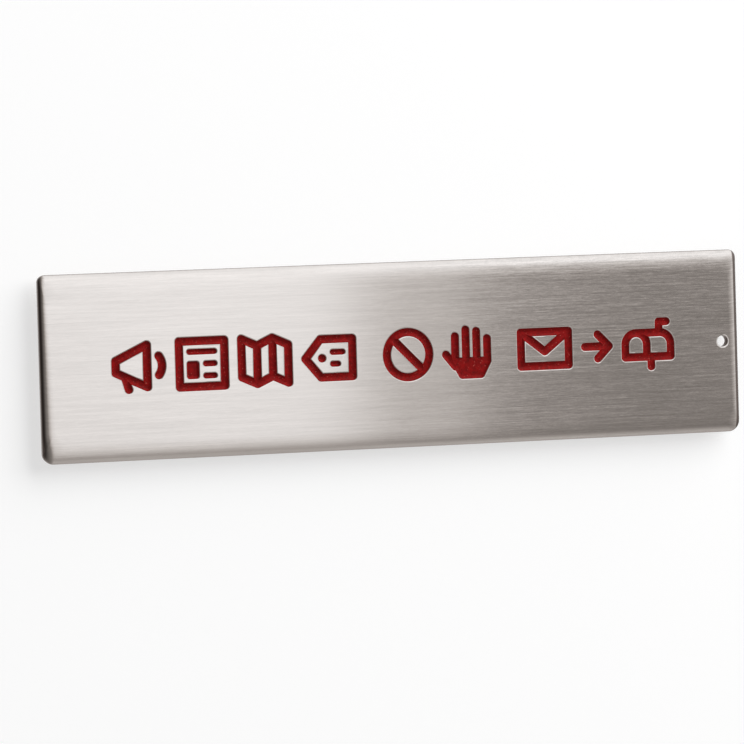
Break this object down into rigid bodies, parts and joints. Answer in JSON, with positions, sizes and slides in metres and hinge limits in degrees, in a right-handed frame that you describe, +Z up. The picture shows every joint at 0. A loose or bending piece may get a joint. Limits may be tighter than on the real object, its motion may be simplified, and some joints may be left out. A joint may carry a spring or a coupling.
{
  "type": "no advertising sign",
  "caption": "Flat brushed steel sign plate with rolled front edges, a row of engraved pictograms filled with red enamel and a small fixing hole at the right end.",
  "frame": {"origin": "centre of the flat back face", "axes": "+X along the sign to the reader's right, towards the hole; +Y out of the back, into the wall; +Z up. The engraved front faces -Y"},
  "size_m": [0.12, 0.0015, 0.03],
  "materials": {
    "brushed_steel": "stainless steel brushed along its length",
    "red_enamel": "satin dark red enamel set in the engraving"
  },
  "bodies": {
    "root": {"plate": "brushed_steel", "megaphone_enamel": "red_enamel", "newspaper_enamel": "red_enamel", "leaflet_enamel": "red_enamel", "price_tag_enamel": "red_enamel", "prohibition_enamel": "red_enamel", "hand_enamel": "red_enamel", "envelope_enamel": "red_enamel", "arrow_enamel": "red_enamel", "letterbox_enamel": "red_enamel"}
  },
  "joints": []
}
